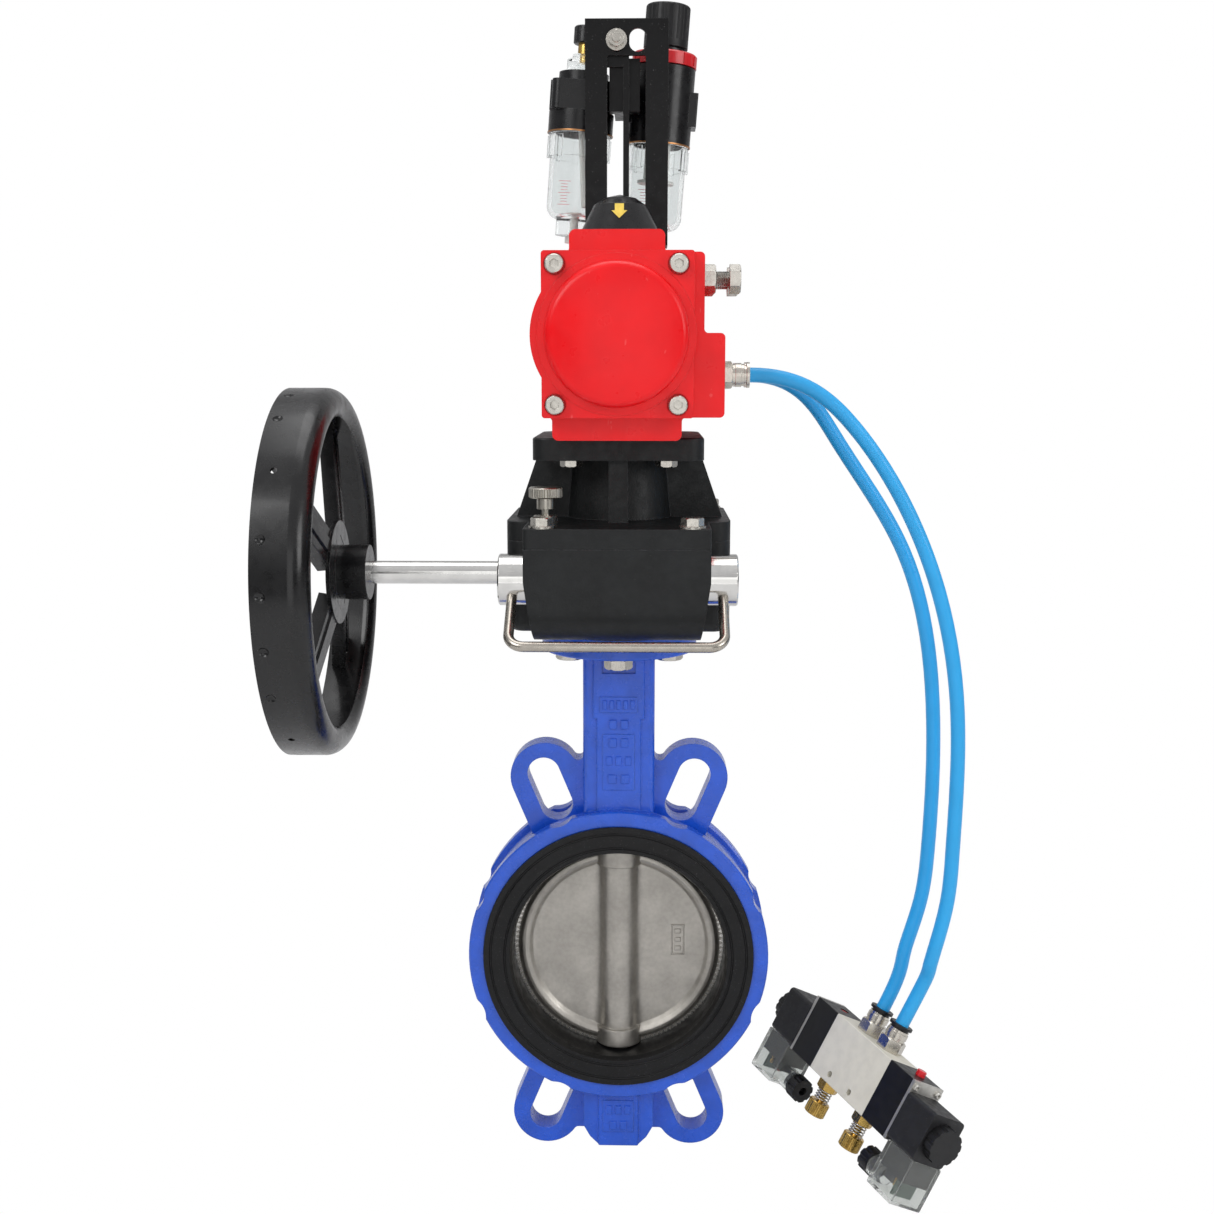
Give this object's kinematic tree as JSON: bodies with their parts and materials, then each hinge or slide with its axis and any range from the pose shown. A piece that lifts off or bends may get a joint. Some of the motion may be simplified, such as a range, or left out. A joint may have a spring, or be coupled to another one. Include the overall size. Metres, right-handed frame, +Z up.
{
  "type": "pneumatic actuated valve",
  "caption": "Wafer butterfly valve turned by a red rack-and-pinion air actuator through a gearbox with handwheel, with air filter-regulator, lubricator and twin-coil air valve.",
  "frame": {"origin": "centre of the valve bore, halfway between the two pipe faces", "axes": "+Z up the stem toward the actuator, +Y along the pipe toward the back, +X toward the air ports, away from the handwheel"},
  "size_m": [0.4525, 0.3056, 0.8144],
  "materials": {
    "blue_enamel": "gloss enamel over a rough casting",
    "black_rubber": "moulded rubber",
    "cast_stainless": "cast, satin",
    "steel": "turned",
    "bronze": "turned",
    "black_iron": "rough casting, black paint",
    "zinc_steel": "zinc plated",
    "chrome": "polished",
    "stainless_rod": "brushed rod",
    "black_paint": "semi-gloss",
    "red_coat": "powder coat",
    "aluminium": "machined",
    "nickel": "nickel plated",
    "dark_plastic": "moulded",
    "yellow_plastic": "moulded",
    "blue_tube": "translucent polyurethane",
    "beige_metal": "fine satin coat",
    "black_body": "moulded, satin",
    "black_knob": "moulded, ribbed",
    "red_plastic": "moulded",
    "clear_plastic": "polycarbonate",
    "white_plastic": "moulded",
    "brass": "turned"
  },
  "bodies": {
    "frame": {"actuator_body": "red_coat", "air_tubes": "blue_tube", "air_valve_body": "beige_metal", "bracket_screws": "zinc_steel", "cap_screws": "zinc_steel", "coil_and_gland_nuts": "dark_plastic", "coils": "dark_plastic", "end_blocks": "dark_plastic", "end_plates": "aluminium", "exhaust_bodies": "brass", "exhaust_springs": "steel", "filter_bowl": "clear_plastic", "filter_element": "white_plastic", "frl_bracket": "black_paint", "front_cap": "red_coat", "gearbox_bolts": "zinc_steel", "gearbox_cover": "black_iron", "gearbox_housing": "black_iron", "hanger": "black_paint", "lock_ring": "red_plastic", "lubricator_body": "black_body", "lubricator_bowl": "clear_plastic", "plug_housings": "clear_plastic", "plug_inserts": "dark_plastic", "plunger_body": "zinc_steel", "plunger_spring": "steel", "push_fittings": "nickel", "rear_cap": "red_coat", "regulator_body": "black_body", "regulator_spring": "steel", "release_rings": "dark_plastic", "seat_liner": "black_rubber", "shaft_bushes": "bronze", "shaft_seals": "black_rubber", "sight_dome": "clear_plastic", "siphon_tube": "white_plastic", "stop_bolts": "zinc_steel", "valve_body": "blue_enamel"},
    "stem": {"disc": "cast_stainless", "valve_stems": "steel", "worm_wheel": "bronze", "drive_shaft": "steel", "pinion": "steel", "stop_cam": "steel", "indicator_dome": "dark_plastic", "indicator_arrow": "yellow_plastic"},
    "front_rack": {"front_piston": "aluminium"},
    "rear_rack": {"rear_piston": "aluminium"},
    "clutch": {"eccentric_sleeves": "chrome", "clutch_bail": "stainless_rod"},
    "wheel_and_worm": {"worm_shaft": "chrome", "handwheel": "black_paint"},
    "lock_plunger": {"plunger_pin": "steel"},
    "pressure_knob": {"regulator_knob": "black_knob"},
    "drip_setting": {"drip_screw": "brass"},
    "right_button": {"right_override": "red_plastic"},
    "left_button": {"left_override": "red_plastic"},
    "valve_spool": {"spool": "aluminium"},
    "left_exhaust": {"left_throttle": "brass"},
    "right_exhaust": {"right_throttle": "brass"}
  },
  "joints": [
    {"name": "stem_turn", "type": "hinge", "parent": "frame", "child": "stem", "pos_m": [0, 0, 0], "axis": [0, 0, 1], "range_deg": [0, 90]},
    {"name": "front_piston_slide", "type": "slide", "parent": "frame", "child": "front_rack", "axis": [0, -1, 0], "range_m": [0, 0.03142]},
    {"name": "rear_piston_slide", "type": "slide", "parent": "frame", "child": "rear_rack", "axis": [0, 1, 0], "range_m": [0, 0.03142]},
    {"name": "clutch_swing", "type": "hinge", "parent": "frame", "child": "clutch", "pos_m": [0, -0.0625, 0.2744], "axis": [1, 0, 0], "range_deg": [-90, 0]},
    {"name": "handwheel_spin", "type": "hinge", "parent": "clutch", "child": "wheel_and_worm", "pos_m": [0, -0.0625, 0.2789], "axis": [1, 0, 0], "range_deg": [-3600, 0]},
    {"name": "plunger_pull", "type": "slide", "parent": "frame", "child": "lock_plunger", "axis": [0, 0, 1], "range_m": [0, 0.006], "deforming": ["plunger_spring"]},
    {"name": "pressure_set", "type": "hinge", "parent": "frame", "child": "pressure_knob", "pos_m": [0.02792, 0.07, 0.59495], "axis": [0.0732, 0, 0.9973], "continuous": true},
    {"name": "drip_set", "type": "hinge", "parent": "frame", "child": "drip_setting", "pos_m": [-0.02792, 0.07, 0.59905], "axis": [0.0732, 0, 0.9973], "continuous": true},
    {"name": "right_button_press", "type": "slide", "parent": "frame", "child": "right_button", "axis": [-0.4613, -0.1313, -0.8774], "range_m": [0, 0.0025]},
    {"name": "left_button_press", "type": "slide", "parent": "frame", "child": "left_button", "axis": [-0.4613, -0.1313, -0.8774], "range_m": [0, 0.0025]},
    {"name": "spool_shift", "type": "slide", "parent": "frame", "child": "valve_spool", "axis": [0.4274, -0.8996, -0.0901], "range_m": [0, 0.0045]},
    {"name": "left_throttle_turn", "type": "hinge", "parent": "frame", "child": "left_exhaust", "pos_m": [0.16707, 0.00569, -0.08573], "axis": [0.4613, 0.1313, 0.8774], "continuous": true},
    {"name": "right_throttle_turn", "type": "hinge", "parent": "frame", "child": "right_exhaust", "pos_m": [0.18673, -0.03569, -0.08987], "axis": [0.4613, 0.1313, 0.8774], "continuous": true}
  ],
  "couplings": [
    {"joint": "front_piston_slide", "follows": "stem_turn", "m_per_rad": 0.02},
    {"joint": "rear_piston_slide", "follows": "stem_turn", "m_per_rad": 0.02},
    {"joint": "handwheel_spin", "follows": "stem_turn", "ratio": -40}
  ]
}
